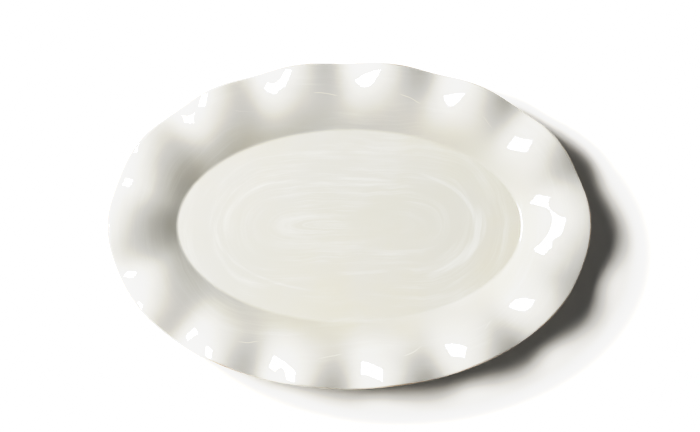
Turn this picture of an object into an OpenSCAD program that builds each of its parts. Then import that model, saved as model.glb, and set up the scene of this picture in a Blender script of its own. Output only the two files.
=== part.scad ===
// Oval serving platter with a ruffled rim: a pressed clay body, a foot ring luted
// under it, and the glaze coats that cover the two. Millimetres, +Z up. The origin
// lies in the resting plane, at the centre of the foot.
// A place on the platter is given by a turn u round the oval, in degrees, and a
// distance x measured square to the well's edge: outwards over the rim, or
// inwards, below zero, over the well.

/* [Outline] */
// Length over the lip, midway between crest and dip
platter_l = 457; // [380:1:560]
// Width over the lip, midway between crest and dip
platter_w = 311.5; // [255:0.5:380]
// Width of the rim in plan, from the well's edge to the lip
rim_w = 62.5; // [45:0.5:76]

/* [Clay body] */
// Thickness of the well's floor
floor_t = 7; // [5:0.5:9]
// Thickness of the rim at its lip
lip_t = 4.4; // [3:0.2:6]
// Height of the lip above the well's floor, midway between crest and dip
rim_rise = 21; // [15:0.1:26]
// Slope of the rim where it leaves the well, in degrees
wall_angle = 36.5; // [30:0.5:42]
// Half the width of the fillet at the well's edge
well_fillet = 1.8; // [1:0.1:5]

/* [Ruffles] */
// Number of ruffles round the rim
ruffles = 14; // [8:1:20]
// Height of a ruffle's crest above the middle of the wave, at the lip
ruffle_h = 6.7; // [0:0.1:9]
// How much tighter the dips turn than the crests, as a share of the crest's height
ruffle_pinch = 0.07; // [0:0.01:0.12]
// How far a crest draws the lip inwards, and a dip lets it out
ruffle_draw = 0.7; // [0:0.1:2]
// Turn of the first crest from the long axis, in ruffle widths
ruffle_turn = 0.024; // [-0.5:0.002:0.5]
// How far the hand-set crests crowd towards one side, in ruffle widths
ruffle_lean = 0.036; // [0:0.002:0.2]
// Turn of the side that they crowd from, back from the long axis, in degrees
lean_turn = 12; // [-90:1:90]
// Extra room for the ruffles at the ends of the oval, in ruffle widths
ruffle_ease = 0.022; // [0:0.002:0.2]

/* [Foot] */
// Height of the foot ring
foot_h = 10; // [6:0.5:14]
// Width of the foot ring's resting face
foot_w = 8; // [5:0.5:12]
// Distance from the well's edge in to the foot ring
foot_inset = 12; // [8:1:20]

/* [Glaze] */
// Thickness of the coat on the well and the rim's face
face_glaze_t = 0.5; // [0.3:0.1:1]
// Thickness of the coats on the back
back_glaze_t = 0.4; // [0.3:0.1:0.8]
// Thickness of the glaze where it breaks thin at the lip
lip_glaze_t = 0.15; // [0.1:0.05:0.3]
// Height of the bare clay that is wiped clean at the bottom of the foot
bare_h = 1.5; // [1:0.5:3]

/* [Hidden] */

// Half lengths of the well's edge, which is an ellipse
well_a = platter_l / 2 - rim_w;
well_b = platter_w / 2 - rim_w;
// Height of the well's floor
floor_z = foot_h + floor_t;
// The lip is a half round, which starts here
lip_x = rim_w - lip_t / 2;
lip_r = lip_t / 2;
// The rim leaves the well at wall_slope, and rim_roll bends it out and over
wall_slope = tan(wall_angle);
roll_power = 2.36;
rim_roll = (wall_slope * lip_x - rim_rise) / pow(lip_x, roll_power);
// The ruffles grow from nothing at the well's edge by this power of the distance
ruffle_growth = 1.4;
// Turns of the stations round the oval, nine to a ruffle
turns = [for (i = [0 : 9 * ruffles - 1]) i * 40 / ruffles];
// Places of the rings, from the well out to the lip
ring_x = concat([-1.3, 0, 1] * well_fillet, [0.3, 0.56, 0.8, 1] * lip_x);
// Angles round the lip, from the face to the back, that the two coats cover. The clay
// has a ring at each of them.
face_lip = [0, 35, 70];
back_lip = [110, 145, 180];
clay_lip = concat(face_lip, back_lip);
// Step of the finite differences that give a normal
step = 0.02;

clay = "antiquewhite";
glaze = "ivory";

// Point in plan at turn u and distance x
function plan(u, x) =
    let (stretch = norm([well_b * cos(u), well_a * sin(u)]))
    [(well_a + x * well_b / stretch) * cos(u), (well_b + x * well_a / stretch) * sin(u)];

// Height of the smooth rim over the well's floor
function rise(x) =
    (abs(x) < well_fillet ? wall_slope * pow(x + well_fillet, 2) / (4 * well_fillet)
                          : wall_slope * max(x, 0))
    - rim_roll * pow(max(x, 0), roll_power);

// The wave of the ruffles, about 1 on a crest and -1 in a dip
function wave(u) =
    let (shift = ruffle_turn - ruffle_lean * cos(u + lean_turn) + ruffle_ease * sin(2 * u),
         phase = ruffles * u - 360 * shift)
    cos(phase) - ruffle_pinch * cos(2 * phase);

// How much of the wave the rim has at distance x
function growth(x) = pow(max(x, 0) / lip_x, ruffle_growth);

// Point on the clay's face, its normal, and the direction out along the rim
function face_point(u, x) =
    let (lift = growth(x) * wave(u), p = plan(u, x - ruffle_draw * lift))
    [p.x, p.y, floor_z + rise(x) + ruffle_h * lift];
function outward(u, x) =
    let (v = face_point(u, x + step) - face_point(u, x - step))
    v / norm(v);
function normal(u, x) =
    let (n = cross(outward(u, x), face_point(u + step, x) - face_point(u - step, x)))
    n / norm(n);

// Thickness of the clay, which thins from the floor to the lip
function clay_t(x) = floor_t + (lip_t - floor_t) * max(x, 0) / lip_x;

// Ring of points at distance x, at a depth below the clay's face
function ring(x, depth) = [for (u = turns) face_point(u, x) - depth * normal(u, x)];

// Ring on the half round of the lip, at an angle from the face, lifted off the clay
function lip_ring(angle, lift) =
    [for (u = turns)
        face_point(u, lip_x) - lip_r * normal(u, lip_x)
        + (lip_r + lift) * (cos(angle) * normal(u, lip_x) + sin(angle) * outward(u, lip_x))];

// Ring in plan at distance x, at a height
function level_ring(x, z) = [for (u = turns) concat(plan(u, x), z)];
function level_outline(x) = [for (u = turns) plan(u, x)];

// Coat thickness round the lip: full on the flat, thin at the edge
function thinned(t, k, last) = t + (lip_glaze_t - t) * k / last;

// Faces between two neighbouring rings. Each square is split along its shorter
// diagonal, so that a coat and the clay beneath it are split alike and fit exactly.
function band(points, low, high) =
    let (n = len(turns))
    [for (i = [0 : n - 1])
        let (j = (i + 1) % n,
             a = low * n + i, b = low * n + j, c = high * n + j, d = high * n + i)
        each norm(points[a] - points[c]) < norm(points[b] - points[d])
            ? [[a, c, d], [a, b, c]]
            : [[a, b, d], [b, c, d]]];
function bands(points, count) =
    [for (k = [0 : count - 2]) each band(points, k, k + 1)];

// Solid with its rings in order from a middle face on top to one beneath
module domed(rings) {
    points = [for (r = rings) each r];
    n = len(turns);
    count = len(rings);
    top = [for (i = [n - 1 : -1 : 0]) i];
    bottom = [for (i = [0 : n - 1]) (count - 1) * n + i];
    polyhedron(points, concat([top], bands(points, count), [bottom]));
}

// Solid with its rings in order right round a hollow section
module looped(rings) {
    points = [for (r = rings) each r];
    count = len(rings);
    polyhedron(points, concat(bands(points, count), band(points, count - 1, 0)));
}

// Places of the rings from the lip back to the well
back_x = [for (k = [len(ring_x) - 2 : -1 : 0]) ring_x[k]];

module platter_body() {
    color(clay)
        domed(concat(
            [for (k = [0 : len(ring_x) - 2]) ring(ring_x[k], 0)],
            [for (a = clay_lip) lip_ring(a, 0)],
            [for (x = back_x) ring(x, clay_t(x))]));
}

module foot_ring() {
    color(clay)
        linear_extrude(foot_h)
            difference() {
                polygon(level_outline(-foot_inset));
                polygon(level_outline(-foot_inset - foot_w));
            }
}

module face_glaze() {
    last = len(face_lip) - 1;
    color(glaze)
        domed(concat(
            [for (k = [0 : len(ring_x) - 2]) ring(ring_x[k], -face_glaze_t)],
            [for (k = [0 : last]) lip_ring(face_lip[k], thinned(face_glaze_t, k, last))],
            [for (k = [last : -1 : 0]) lip_ring(face_lip[k], 0)],
            [for (x = back_x) ring(x, 0)]));
}

// The coat under the rim, which turns down over the outside of the foot
module back_glaze() {
    last = len(back_lip) - 1;
    color(glaze)
        looped(concat(
            [for (k = [0 : last]) lip_ring(back_lip[k], thinned(back_glaze_t, last - k, last))],
            [for (x = back_x) ring(x, clay_t(x) + back_glaze_t)],
            [level_ring(back_glaze_t - foot_inset, foot_h - back_glaze_t),
             level_ring(back_glaze_t - foot_inset, bare_h),
             level_ring(-foot_inset, bare_h),
             level_ring(-foot_inset, foot_h)],
            [for (k = [0 : len(ring_x) - 2]) ring(ring_x[k], clay_t(ring_x[k]))],
            [for (k = [last : -1 : 0]) lip_ring(back_lip[k], 0)]));
}

// The coat inside the foot: a panel under the floor, and a skirt down the foot
module base_glaze() {
    color(glaze) {
        translate([0, 0, foot_h - back_glaze_t])
            linear_extrude(back_glaze_t)
                polygon(level_outline(-foot_inset - foot_w));
        translate([0, 0, bare_h])
            linear_extrude(foot_h - back_glaze_t - bare_h)
                difference() {
                    polygon(level_outline(-foot_inset - foot_w));
                    polygon(level_outline(-foot_inset - foot_w - back_glaze_t));
                }
    }
}

platter_body();
foot_ring();
face_glaze();
back_glaze();
base_glaze();
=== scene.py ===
"""Oval serving platter with a ruffled rim, in glossy ivory glaze over pale clay.

The platter is made here in the order of the real one: the pressed clay sheet, the
foot luted under it, and the coats of glaze on the face, the back and the base. The
floor, the lights and the camera come last.
"""
import math

import bpy
import numpy as np
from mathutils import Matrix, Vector


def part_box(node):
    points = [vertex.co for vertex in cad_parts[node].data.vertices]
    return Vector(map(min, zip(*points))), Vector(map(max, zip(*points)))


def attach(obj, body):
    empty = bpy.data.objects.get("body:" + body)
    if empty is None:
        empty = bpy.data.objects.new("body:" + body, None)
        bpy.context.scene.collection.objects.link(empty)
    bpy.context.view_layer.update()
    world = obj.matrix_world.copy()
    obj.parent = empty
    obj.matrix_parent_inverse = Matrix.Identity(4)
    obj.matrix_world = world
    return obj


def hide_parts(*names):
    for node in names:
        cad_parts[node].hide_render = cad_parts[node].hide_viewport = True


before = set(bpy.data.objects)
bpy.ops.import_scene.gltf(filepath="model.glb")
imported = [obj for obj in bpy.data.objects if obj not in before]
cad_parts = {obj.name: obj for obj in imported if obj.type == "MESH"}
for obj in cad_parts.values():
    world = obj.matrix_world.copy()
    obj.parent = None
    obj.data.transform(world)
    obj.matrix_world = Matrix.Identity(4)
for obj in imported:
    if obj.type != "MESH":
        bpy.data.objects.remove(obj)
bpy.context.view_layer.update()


# --- Clay body ---------------------------------------------------------------------
# One sheet of pale clay pressed over an oval form, which gives the flat well, the
# sloping wall and the rim. The rim is pinched into ruffles by hand and its edge is
# rounded with a sponge. Nearly all of it lies under the glaze.

PLATTER_L = 0.457
PLATTER_W = 0.3115
RIM_W = 0.0625
RIM_RISE = 0.021
WALL_ANGLE = math.radians(36.5)
ROLL_POWER = 2.36
FILLET = 0.0018
FLOOR_T = 0.007
LIP_T = 0.0044
RUFFLES = 14
RUFFLE_H = 0.0067
RUFFLE_PINCH = 0.07
RUFFLE_DRAW = 0.0007
RUFFLE_GROWTH = 1.4
# How the crests are set round the oval, in ruffle widths, and the side they lean from
RUFFLE_TURN = 0.024
RUFFLE_LEAN = 0.036
RUFFLE_EASE = 0.022
LEAN_TURN = math.radians(12)

foot_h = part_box("foot_ring")[1][2]
floor_z = foot_h + FLOOR_T
well_a = PLATTER_L / 2 - RIM_W
well_b = PLATTER_W / 2 - RIM_W
lip_x = RIM_W - LIP_T / 2
lip_r = LIP_T / 2
wall_slope = math.tan(WALL_ANGLE)
rim_roll = (wall_slope * lip_x - RIM_RISE) / lip_x**ROLL_POWER

# Turns round the oval, with enough stations for a smooth wave in every ruffle
turns = np.linspace(0, 2 * math.pi, 32 * RUFFLES, endpoint=False)


def plan(u, x):
    """Point in plan at turn u, a distance x out from the well's edge."""
    stretch = np.hypot(well_b * np.cos(u), well_a * np.sin(u))
    return ((well_a + x * well_b / stretch) * np.cos(u),
            (well_b + x * well_a / stretch) * np.sin(u))


def phase(u):
    """Where turn u lies on its ruffle, which were set a little unevenly by hand."""
    shift = RUFFLE_TURN - RUFFLE_LEAN * np.cos(u + LEAN_TURN) + RUFFLE_EASE * np.sin(2 * u)
    return RUFFLES * u - 2 * math.pi * shift


def wave(u):
    """The ruffles: about 1 on a crest and -1 in a dip."""
    return np.cos(phase(u)) - RUFFLE_PINCH * np.cos(2 * phase(u))


def rise(x):
    """Height of the smooth rim over the well's floor."""
    out = max(x, 0)
    if abs(x) < FILLET:
        start = wall_slope * (x + FILLET) ** 2 / (4 * FILLET)
    else:
        start = wall_slope * out
    return start - rim_roll * out**ROLL_POWER


def face_point(u, x):
    """Point on the clay's face."""
    lift = (max(x, 0) / lip_x) ** RUFFLE_GROWTH * wave(u)
    px, py = plan(u, x - RUFFLE_DRAW * lift)
    return np.stack([px, py, floor_z + rise(x) + RUFFLE_H * lift], axis=-1)


def outward(u, x):
    """Direction out along the rim's face."""
    v = face_point(u, x + 2e-5) - face_point(u, x - 2e-5)
    return v / np.linalg.norm(v, axis=-1, keepdims=True)


def normal(u, x):
    """Normal of the clay's face."""
    n = np.cross(outward(u, x), face_point(u + 1e-4, x) - face_point(u - 1e-4, x))
    return n / np.linalg.norm(n, axis=-1, keepdims=True)


def clay_t(x):
    """Thickness of the clay, which thins from the floor to the lip."""
    return FLOOR_T + (LIP_T - FLOOR_T) * max(x, 0) / lip_x


def ring(x, depth):
    """Ring of points at distance x, at a depth below the clay's face."""
    return face_point(turns, x) - depth * normal(turns, x)


def lip_ring(angle, lift=0.0):
    """Ring on the half round of the lip, at an angle from the face, off the clay."""
    n, t = normal(turns, lip_x), outward(turns, lip_x)
    a = math.radians(angle)
    centre = face_point(turns, lip_x) - lip_r * n
    return centre + (lip_r + lift) * (math.cos(a) * n + math.sin(a) * t)


def well_ring(share, z):
    """Ring in the well, at a share of the way out from the middle, at a height."""
    x, y = plan(turns, -2 * FILLET)
    return np.stack([share * x, share * y, np.full_like(x, z)], axis=-1)


def level_ring(x, z):
    """Ring in plan at distance x, at a height."""
    px, py = plan(turns, x)
    return np.stack([px, py, np.full_like(px, z)], axis=-1)


def rolled_sheet(name, rings, looped=False, marks=None):
    """A grid sheet rolled round the oval, a row to a ring, and closed. Its first and
    last rings are closed with a middle point each, or joined to each other. Marks
    are values for each ring, which the glaze's material reads."""
    n = len(turns)
    ends = [np.repeat(rings[k].mean(axis=0, keepdims=True), n, axis=0) for k in (0, -1)]
    rows = [*rings, rings[0]] if looped else [ends[0], *rings, ends[1]]
    bpy.ops.object.select_all(action="DESELECT")
    bpy.ops.mesh.primitive_grid_add(x_subdivisions=n, y_subdivisions=len(rows) - 1)
    piece = bpy.context.object
    piece.name = piece.data.name = name
    rolled = np.stack([np.vstack([row, row[:1]]) for row in rows])
    piece.data.vertices.foreach_set("co", rolled.astype(np.float32).ravel())
    for mark, values in (marks or {}).items():
        levels = [*values, values[0]] if looped else [values[0], *values, values[-1]]
        spread = np.stack([np.broadcast_to(level, n) for level in levels])
        spread = np.hstack([spread, spread[:, :1]])
        layer = piece.data.attributes.new(mark, "FLOAT", "POINT")
        layer.data.foreach_set("value", spread.astype(np.float32).ravel())
    bpy.ops.object.mode_set(mode="EDIT")
    bpy.ops.mesh.select_all(action="SELECT")
    bpy.ops.mesh.remove_doubles(threshold=1e-6)
    bpy.ops.mesh.normals_make_consistent(inside=False)
    bpy.ops.object.mode_set(mode="OBJECT")
    bpy.ops.object.shade_smooth_by_angle(angle=math.radians(50))
    return piece


# Rings from the middle of the well to the start of the lip: wide apart on the flat,
# close in the fillet, and even up the rim
well_shares = [0.06, 0.2, 0.4, 0.6, 0.8, 0.95]
fillet_x = [FILLET * k / 4 for k in range(-5, 6)]
rim_x = [FILLET * 1.25 + (lip_x - FILLET * 1.25) * k / 24 for k in range(1, 25)]
face_x = fillet_x + rim_x


class Shader:
    """One material's nodes, which are added by type with their settings and inputs."""

    def __init__(self, name):
        self.material = bpy.data.materials.new(name)
        self.material.use_nodes = True
        self.tree = self.material.node_tree
        self.tree.nodes.clear()

    def node(self, kind, settings=None, **inputs):
        """A node with its settings made first. An input is named, or numbered as i0."""
        made = self.tree.nodes.new(kind)
        for key, value in (settings or {}).items():
            setattr(made, key, value)
        for key, value in inputs.items():
            place = int(key[1:]) if key[1:].isdigit() else key.replace("_", " ")
            self.feed(made.inputs[place], value)
        return made

    def feed(self, socket, value):
        """Link a number or a socket to this socket, or set the socket's own value."""
        if isinstance(value, Number):
            value = value.socket
        if isinstance(value, bpy.types.NodeSocket):
            self.tree.links.new(value, socket)
        else:
            socket.default_value = value

    def number(self, kind, settings=None, output=0, **inputs):
        """The same, for a node whose output is a number to count with."""
        return Number(self, self.node(kind, settings, **inputs).outputs[output])


class Number:
    """A socket that holds a number, for shader maths written as expressions."""

    def __init__(self, shader, socket):
        self.shader = shader
        self.socket = socket

    def maths(self, operation, *values):
        """A Math node on these values."""
        inputs = {f"i{k}": v for k, v in enumerate(values)}
        return self.shader.number("ShaderNodeMath", {"operation": operation}, **inputs)

    def __add__(self, other):
        return self.maths("ADD", self, other)

    def __radd__(self, other):
        return self.maths("ADD", other, self)

    def __sub__(self, other):
        return self.maths("SUBTRACT", self, other)

    def __rsub__(self, other):
        return self.maths("SUBTRACT", other, self)

    def __mul__(self, other):
        return self.maths("MULTIPLY", self, other)

    def __rmul__(self, other):
        return self.maths("MULTIPLY", other, self)

    def __truediv__(self, other):
        return self.maths("DIVIDE", self, other)

    def __pow__(self, other):
        return self.maths("POWER", self, other)

    def root(self):
        return self.maths("SQRT", self)

    def fade(self, start, end, low=0.0, high=1.0):
        """This number mapped from start and end to low and high, with soft ends."""
        return self.shader.number("ShaderNodeMapRange", {"interpolation_type": "SMOOTHSTEP"},
                                  Value=self, From_Min=start, From_Max=end,
                                  To_Min=low, To_Max=high)


def mixed(shader, factor, first, second):
    """Two colours mixed by a factor."""
    node = shader.node("ShaderNodeMix", {"data_type": "RGBA"})
    shader.feed(node.inputs[0], factor)
    shader.feed(node.inputs[6], first)
    shader.feed(node.inputs[7], second)
    return node.outputs[2]


def place_of(shader):
    """Object coordinates, and the place along the length and the width in metres."""
    place = shader.node("ShaderNodeTexCoord").outputs["Object"]
    parts = shader.node("ShaderNodeSeparateXYZ", Vector=place)
    return place, Number(shader, parts.outputs["X"]), Number(shader, parts.outputs["Y"])


def noise(shader, vector, scale, detail=2.0, roughness=0.5):
    """Soft noise from 0 to 1."""
    return shader.number("ShaderNodeTexNoise", {"noise_dimensions": "3D"}, Vector=vector,
                         Scale=scale, Detail=detail, Roughness=roughness)


def fired_clay():
    """Pale, dry, fine-grained clay: cream with buff clouds, specks and fine grit."""
    s = Shader("fired_clay")
    place = place_of(s)[0]
    clouds = noise(s, place, 22, 4)
    grain = noise(s, place, 900, 3, 0.6)
    specks = s.number("ShaderNodeTexVoronoi", {"feature": "F1"}, Vector=place, Scale=420)
    speck = specks.fade(0.10, 0.17, 0.35, 0.0) * noise(s, place, 160).fade(0.55, 0.62)
    cream = mixed(s, clouds, (0.60, 0.49, 0.35, 1), (0.74, 0.65, 0.51, 1))
    toned = mixed(s, grain.fade(0.3, 0.75) * 0.35, cream, (0.45, 0.34, 0.22, 1))
    colour = mixed(s, speck, toned, (0.16, 0.10, 0.06, 1))
    bump = s.node("ShaderNodeBump", Height=grain + 0.4 * clouds, Strength=0.35,
                  Distance=0.0004).outputs[0]
    bsdf = s.node("ShaderNodeBsdfPrincipled", Base_Color=colour,
                  Roughness=grain.fade(0.2, 0.8, 0.72, 0.9), Normal=bump)
    s.node("ShaderNodeOutputMaterial", Surface=bsdf.outputs[0])
    return s.material


clay_mat = fired_clay()

lip_angles = [12 * k for k in range(1, 16)]
body = rolled_sheet("clay_body", [
    *[well_ring(share, floor_z) for share in well_shares],
    *[ring(x, 0) for x in face_x],
    *[lip_ring(a) for a in lip_angles[:-1]],
    *[ring(x, clay_t(x)) for x in reversed(face_x)],
    *[well_ring(share, foot_h) for share in reversed(well_shares)]])
body.data.materials.append(clay_mat)
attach(body, "root")
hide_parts("platter_body")


# --- Foot ring ---------------------------------------------------------------------
# A strip of the same clay luted under the well with slip, trimmed to a slight draft
# and rounded at its bottom edges. Its resting face is wiped bare of glaze and rubbed
# smooth after the firing.

FOOT_W = 0.008
FOOT_INSET = 0.012
FOOT_DRAFT = 0.0006
FOOT_ROUND = 0.0012


def foot_section():
    """Rings right round the foot: down its outside, along its bottom and up inside."""
    outer, inner = -FOOT_INSET, -FOOT_INSET - FOOT_W
    corner = [math.radians(a) for a in (0, 22.5, 45, 67.5, 90)]
    out_x, in_x = outer - FOOT_DRAFT - FOOT_ROUND, inner + FOOT_DRAFT + FOOT_ROUND
    rings = [level_ring(outer, foot_h), level_ring(outer - FOOT_DRAFT / 2, foot_h * 0.55)]
    rings += [level_ring(out_x + FOOT_ROUND * math.cos(a), FOOT_ROUND * (1 - math.sin(a)))
              for a in corner]
    rings += [level_ring((out_x + in_x) / 2, 0.0)]
    rings += [level_ring(in_x - FOOT_ROUND * math.cos(a), FOOT_ROUND * (1 - math.sin(a)))
              for a in reversed(corner)]
    return rings + [level_ring(inner + FOOT_DRAFT / 2, foot_h * 0.55), level_ring(inner, foot_h)]


foot = rolled_sheet("foot_strip", foot_section(), looped=True)
foot.data.materials.append(clay_mat)
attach(foot, "root")
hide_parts("foot_ring")


# --- Face glaze --------------------------------------------------------------------
# White glaze brushed over the face in long oval strokes, under a clear gloss that
# runs level in the fire. It pulls thin at the lip, where the warm clay shows through.

FACE_T = 0.0005
LIP_GLAZE_T = 0.00015

IVORY_COOL = (0.632, 0.623, 0.577, 1)
IVORY_WARM = (0.657, 0.632, 0.560, 1)
RIM_WHITE = (0.703, 0.687, 0.645, 1)
CLOUDY = (0.637, 0.632, 0.606, 1)
STROKE_WHITE = (0.760, 0.757, 0.715, 1)
# Cream of the painted reflection lines across the ruffles
REFLECTION_LINE_CREAM = (0.86, 0.84, 0.77, 1)
LIP_BROWN = (0.36, 0.25, 0.14, 1)
IRON_SPECK = (0.20, 0.15, 0.10, 1)

# Half the straight stretch of the strokes, and how softly they meet and turn there
STRAIGHT_HALF = 0.074
SMOOTH_MIDDLE = 1e-6
SMOOTH_TURN = 0.0006
# How quickly a stroke changes along its length, in turns to the metre
STROKE_RUN = 15.0
# Half the width of a painted reflection line
REFLECTION_LINE_HALF = 0.000566
# Heavy strokes: half height and half length of the oval, half width of the stroke,
# turn of its middle, reach to each side and strength
HEAVY_STROKES = (
    (0.0626, 0.127, 0.0034, -0.22, 0.42, 0.55),
    (0.0600, 0.122, 0.0016, 0.30, 0.40, 0.30),
    (0.0660, 0.128, 0.0013, 3.64, 0.62, 0.35),
    (0.0560, 0.118, 0.0020, 2.90, 0.40, 0.22),
    (0.0135, 0.093, 0.0009, 1.75, 0.80, 0.26),
    (0.0200, 0.104, 0.0010, 4.40, 0.90, 0.22),
    (0.0470, 0.110, 0.0022, 4.95, 0.55, 0.28),
    (0.0450, 0.108, 0.0018, 1.30, 0.60, 0.24))


def thinned(thick, k, last):
    """Thickness of a coat round the lip: full on the flat and thin at the edge."""
    return thick + (LIP_GLAZE_T - thick) * k / last


def brush_field(s, place, x, y):
    """The brush's path over the well: how far a place lies from the middle stroke,
    measured across the strokes, how much it lies past the straight middle, and the
    hand's sway. The strokes are long ovals, straight along the middle, round at the
    ends."""
    stretch = (x * x + SMOOTH_MIDDLE).root() - STRAIGHT_HALF
    past = ((stretch * stretch + SMOOTH_TURN).root() + stretch) * 0.5
    sway = (noise(s, place, 6, 1) - 0.5) * 0.022 + (noise(s, place, 26, 2) - 0.5) * 0.007
    return (past * past + y * y).root() + sway, past, sway


def heavy_stroke(x, y, sway, height, length, width, turn, reach, strength):
    """One heavy stroke: an arc of an oval of this half height and half length, wide
    on each side of its line, round a turn from +X and a reach to each side of it."""
    oval = (x * x * (height / length) ** 2 + y * y).root() - height + sway * 0.25
    facing = (x * math.cos(turn) + y * math.sin(turn)) / (x * x + y * y + SMOOTH_MIDDLE).root()
    body = (oval * oval).fade(0.0, width * width, strength, 0.0)
    return body * facing.fade(math.cos(reach), math.cos(reach * 0.4))


def glaze(name, brushed):
    """Glossy ivory glaze: cloudy tone, strokes or a smooth pour, thin spots, specks."""
    s = Shader(name)
    place, x, y = place_of(s)
    mark = {key: s.number("ShaderNodeAttribute", {"attribute_name": key}, output=2)
            for key in ("edge", "out", "wave", "away_from_lamp")}
    # It is creamy in the well and whiter on the rim
    warmth = noise(s, place, 6.5, 2)
    clouds = noise(s, place, 14, 3)
    ivory = mixed(s, warmth.fade(0.3, 0.7), IVORY_COOL, IVORY_WARM)
    ivory = mixed(s, mark["out"].fade(0.004, 0.034), ivory, RIM_WHITE)
    tone = mixed(s, clouds.fade(0.35, 0.7) * 0.6, ivory, CLOUDY)
    across, past, sway = brush_field(s, place, x, y)

    def strokes(fineness, detail, shift):
        along = s.node("ShaderNodeCombineXYZ", X=across * fineness, Y=x * STROKE_RUN + shift,
                       Z=y * STROKE_RUN)
        return noise(s, along.outputs[0], 1.0, detail, 0.62)

    hairs = strokes(620, 3, 0)
    bristles = strokes(210, 3, 4)
    swathes = strokes(60, 2, 9)
    if brushed:
        # The brush lays more white in some places, and least where it turns
        patches = s.node("ShaderNodeCombineXYZ", X=across * 45, Y=x * 9, Z=y * 9).outputs[0]
        middle = across.fade(0.075, 0.03, 0.5, 0.85)
        turning = past.fade(0.002, 0.016) * across.fade(0.050, 0.030)
        lay = noise(s, patches, 1.0, 2).fade(0.38, 0.62, 0.05, 1.0) * middle * (1 - turning * 0.7)
        white = (hairs.fade(0.46, 0.74) * 0.42 + bristles.fade(0.46, 0.72) * 0.50
                 + swathes.fade(0.48, 0.72) * 0.30) * lay
        split = bristles.fade(0.25, 0.5)
        for one in HEAVY_STROKES:
            white = white + heavy_stroke(x, y, sway, *one) * split
    else:
        white = bristles.fade(0.45, 0.75) * 0.12
    washed = mixed(s, white, tone, STROKE_WHITE)
    # Painted reflection: a thin bright line across each ruffle, on its side that faces away from
    # the lamp
    wander = (noise(s, place, 22, 2) - 0.5) * 0.012
    reflection_line_offset = mark["out"] - 0.0325 - mark["wave"] * 0.0045 + wander
    painted_reflection_line = (reflection_line_offset * reflection_line_offset).fade(0.0, REFLECTION_LINE_HALF**2, 1.0, 0.0) * mark["away_from_lamp"].fade(0.55, 0.9)
    lined = mixed(s, painted_reflection_line * noise(s, place, 30, 1).fade(0.35, 0.5) * 0.7, washed, REFLECTION_LINE_CREAM)
    # The glaze breaks thin and warm over the edge of the lip
    patchy = noise(s, place, 14, 4).fade(0.35, 0.65, 0.15, 1.0)
    broken = mixed(s, mark["edge"].fade(0.10, 0.70) * patchy, lined, LIP_BROWN)
    # Few of the cells have an iron speck at their middle
    cells = s.node("ShaderNodeTexVoronoi", {"feature": "F1"}, Vector=place, Scale=34)
    dot = Number(s, cells.outputs[0]).fade(0.010, 0.016, 1.0, 0.0)
    rare = s.number("ShaderNodeSeparateColor", Color=cells.outputs[1]).fade(0.955, 0.96)
    colour = mixed(s, dot * rare * 0.75, broken, IRON_SPECK)
    height = hairs * 0.35 + bristles * 0.8 + swathes + noise(s, place, 55, 2) * 1.5
    bump = s.node("ShaderNodeBump", Height=height, Strength=0.10, Distance=0.0001).outputs[0]
    bsdf = s.node("ShaderNodeBsdfPrincipled", Base_Color=colour, IOR=1.52,
                  Roughness=bristles.fade(0.3, 0.8, 0.025, 0.055), Normal=bump)
    s.node("ShaderNodeOutputMaterial", Surface=bsdf.outputs[0])
    return s.material


brushed_glaze = glaze("brushed_ivory_glaze", brushed=True)
poured_glaze = glaze("poured_ivory_glaze", brushed=False)
glaze_z = floor_z + FACE_T
face_angles = [10 * k for k in range(1, 8)]
last = len(face_angles) - 1
face_rings = (
    [well_ring(share, glaze_z) for share in well_shares]
    + [ring(x, -FACE_T) for x in face_x]
    + [lip_ring(a, thinned(FACE_T, k, last)) for k, a in enumerate(face_angles)]
    + [lip_ring(a) for a in reversed(face_angles)]
    + [ring(x, 0) for x in reversed(face_x)]
    + [well_ring(share, floor_z) for share in reversed(well_shares)])
rising = [(k + 1) / (last + 1) for k in range(last + 1)]


def there_and_back(way_out):
    """Marks for a coat's top, then for its underside back to the start."""
    return way_out + way_out[::-1]


# Marks on the face: the lip's edge, the distance out from the well, the ruffles, and
# the side of each ruffle that faces away from the lamp, which carries a painted reflection line
flat_count = len(well_shares) + len(face_x)
way_count = flat_count + len(rising)
face_marks = {
    "edge": there_and_back([0.0] * flat_count + rising),
    "out": there_and_back([-FILLET] * len(well_shares) + face_x + [lip_x] * len(rising)),
    "wave": there_and_back([wave(turns)] * way_count),
    "away_from_lamp": there_and_back([-np.sin(turns) * np.sin(phase(turns))] * way_count)}
face = rolled_sheet("face_glaze_coat", face_rings, marks=face_marks)
face.data.materials.append(brushed_glaze)
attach(face, "root")
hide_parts("face_glaze")


# --- Back glaze --------------------------------------------------------------------
# The same glaze poured over the back, which stops low on the outside of the foot.

BACK_T = 0.0004
BARE_H = 0.0015

back_angles = [110 + 10 * k for k in range(8)]
last = len(back_angles) - 1
coat_out = -FOOT_INSET + BACK_T
back_rings = (
    [lip_ring(a, thinned(BACK_T, last - k, last)) for k, a in enumerate(back_angles)]
    + [ring(x, clay_t(x) + BACK_T) for x in reversed(face_x)]
    + [level_ring(coat_out + d, foot_h - BACK_T - h) for d, h in
       ((0.0018, 0.0), (0.0010, 0.0002), (0.0004, 0.0006), (0.0001, 0.0011))]
    + [level_ring(coat_out - FOOT_DRAFT / 2, foot_h * 0.5),
       level_ring(coat_out - FOOT_DRAFT * 0.8, BARE_H + 0.0006),
       level_ring(coat_out - FOOT_DRAFT * 0.9 - BACK_T / 3, BARE_H + 0.0002),
       level_ring(-FOOT_INSET - FOOT_DRAFT, BARE_H),
       level_ring(-FOOT_INSET, foot_h)]
    + [ring(x, clay_t(x)) for x in face_x]
    + [lip_ring(a) for a in reversed(back_angles)])
count = len(back_angles)
falling = [(count - k) / count for k in range(count)]
back_marks = {"edge": falling + [0.0] * (len(back_rings) - 2 * count) + falling[::-1]}
back = rolled_sheet("back_glaze_coat", back_rings, looped=True, marks=back_marks)
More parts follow.
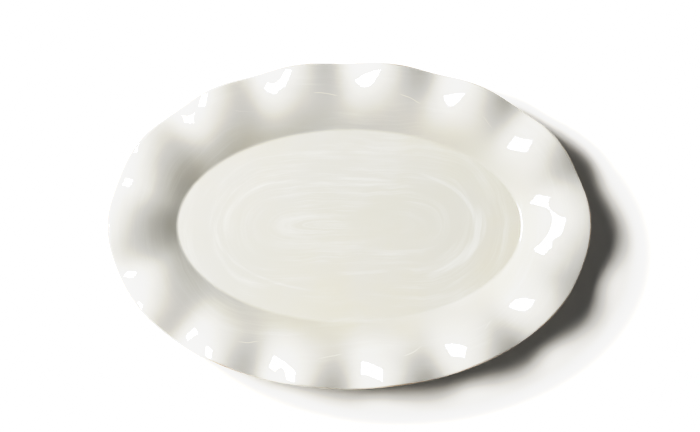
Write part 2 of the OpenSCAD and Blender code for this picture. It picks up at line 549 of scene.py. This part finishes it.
back.data.materials.append(poured_glaze)
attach(back, "root")
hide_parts("back_glaze")


# --- Base glaze --------------------------------------------------------------------
# The same glaze swilled round inside the foot, with a soft pool in the corner.

wall_x = -FOOT_INSET - FOOT_W
skin_x = wall_x - BACK_T
base = rolled_sheet("base_glaze_coat", [
    *[level_ring(wall_x, foot_h) * (share, share, 1) for share in (0.1, 0.4, 0.7, 0.9, 1.0)],
    level_ring(wall_x + FOOT_DRAFT, BARE_H),
    level_ring(skin_x + FOOT_DRAFT * 0.9 + BACK_T / 3, BARE_H + 0.0002),
    level_ring(skin_x + FOOT_DRAFT * 0.8, BARE_H + 0.0006),
    level_ring(skin_x + FOOT_DRAFT / 2, foot_h * 0.5),
    *[level_ring(skin_x - d, foot_h - BACK_T - h) for d, h in
      ((0.0001, 0.0011), (0.0004, 0.0006), (0.0010, 0.0002), (0.0018, 0.0))],
    *[level_ring(wall_x, foot_h - BACK_T) * (share, share, 1) for share in (0.9, 0.7, 0.4, 0.1)]])
base.data.materials.append(poured_glaze)
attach(base, "root")
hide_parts("base_glaze")


# --- Floor, light and camera -------------------------------------------------------
# A plain pale floor that glows softly away from the platter, softboxes up on the
# left, and a white surround. The camera looks almost straight down at the platter.

FLOOR_PALE = (0.812, 0.800, 0.772, 1)
# Middle of the dark patch in the glow, which leaves room for the platter's shadow
SHADOW_SIDE = (0.045, -0.024)

LAMP_DISTANCE = 3.0
KEY_TURN = math.radians(166)
KEY_LIFT = math.radians(49.4)
KEY_SIZE = (1.50, 1.05)
KEY_WATTS = 93
GLEAM_TURN = math.radians(173.0)
GLEAM_LIFT = math.radians(53.5)
GLEAM_SIZE = (1.38, 0.90)
GLEAM_WATTS = 130
GLEAM_ROLL = -0.156
FILL = 0.13

CAMERA_AIM = Vector((0.00052, 0.00904, 0.017))
CAMERA_DISTANCE = 1.127
CAMERA_TILT = 0.1022
CAMERA_LENS = 60.11

# The camera's response, as pairs of light and shown: deep in the shadows, with a
# soft shoulder below white
WHITE_LIGHT = 0.96
RESPONSE = ((0.10, 0.055), (0.19, 0.145), (0.29, 0.33), (0.40, 0.545), (0.46, 0.635),
            (0.53, 0.765), (0.59, 0.835), (0.65, 0.885), (0.76, 0.915), (0.87, 0.935))


def pale_floor():
    """Matt warm white. Its glow grows with the distance from the shadow."""
    s = Shader("pale_floor")
    x, y = place_of(s)[1:]
    across = (x - SHADOW_SIDE[0]) / PLATTER_L
    along = (y - SHADOW_SIDE[1]) / PLATTER_W
    away = (across**2 + along**2).root()
    glow = away.fade(0.49, 0.585, 0.0, 0.60) + away.fade(0.60, 1.40, 0.0, 0.45)
    light = s.node("ShaderNodeCombineColor", Red=glow, Green=glow, Blue=glow).outputs[0]
    bsdf = s.node("ShaderNodeBsdfPrincipled", Base_Color=FLOOR_PALE, Roughness=0.8,
                  Specular_IOR_Level=0.1, Emission_Color=light, Emission_Strength=1.0)
    s.node("ShaderNodeOutputMaterial", Surface=bsdf.outputs[0])
    return s.material


bpy.ops.object.select_all(action="DESELECT")
bpy.ops.mesh.primitive_plane_add(size=12, location=(0, 0, 0))
floor = bpy.context.object
floor.name = "floor"
floor.data.materials.append(pale_floor())


def softbox(name, turn, lift, size, watts, roll):
    """A softbox at a turn from +X and a lift from the floor, facing the platter."""
    lamp = bpy.data.lights.new(name, "AREA")
    lamp.shape = "RECTANGLE"
    lamp.size, lamp.size_y = size
    lamp.energy = watts
    box = bpy.data.objects.new(name, lamp)
    box.location = LAMP_DISTANCE * Vector((math.cos(lift) * math.cos(turn),
                                           math.cos(lift) * math.sin(turn), math.sin(lift)))
    box.rotation_euler = (-box.location).to_track_quat("-Z", "Y").to_euler()
    box.rotation_euler.rotate_axis("Z", roll)
    bpy.context.collection.objects.link(box)
    return box


# One box lights the platter and casts its shadow, and the glaze mirrors the other
key = softbox("key_softbox", KEY_TURN, KEY_LIFT, KEY_SIZE, KEY_WATTS, 0)
key.visible_glossy = False
gleam = softbox("gleam_softbox", GLEAM_TURN, GLEAM_LIFT, GLEAM_SIZE, GLEAM_WATTS, GLEAM_ROLL)
gleam.visible_diffuse = False

# The camera sees a white backdrop, and everything else only its soft fill
world = bpy.data.worlds.new("surround")
bpy.context.scene.world = world
world.use_nodes = True
tree = world.node_tree
fill = tree.nodes["Background"]
fill.inputs["Color"].default_value = (1.0, 1.0, 1.0, 1)
fill.inputs["Strength"].default_value = FILL
backdrop = tree.nodes.new("ShaderNodeBackground")
backdrop.inputs["Color"].default_value = (1.0, 1.0, 1.0, 1)
either = tree.nodes.new("ShaderNodeMixShader")
ray = tree.nodes.new("ShaderNodeLightPath")
tree.links.new(ray.outputs["Is Camera Ray"], either.inputs[0])
tree.links.new(fill.outputs[0], either.inputs[1])
tree.links.new(backdrop.outputs[0], either.inputs[2])
tree.links.new(either.outputs[0], tree.nodes["World Output"].inputs["Surface"])

camera = bpy.data.objects.new("camera", bpy.data.cameras.new("camera"))
camera.data.lens = CAMERA_LENS
back_off = Vector((0, -math.sin(CAMERA_TILT), math.cos(CAMERA_TILT)))
camera.location = CAMERA_AIM + CAMERA_DISTANCE * back_off
camera.rotation_euler = (CAMERA_TILT, 0, 0)
bpy.context.collection.objects.link(camera)
bpy.context.scene.camera = camera

view = bpy.context.scene.view_settings
view.view_transform = "Standard"
view.use_curve_mapping = True
response = view.curve_mapping
response.use_clip = False
response.extend = "HORIZONTAL"
tone = response.curves[3]
tone.points[0].location = (0.0, 0.0)
tone.points[1].location = (WHITE_LIGHT, 1.0)
for light, shown in RESPONSE:
    tone.points.new(light, shown)
response.update()
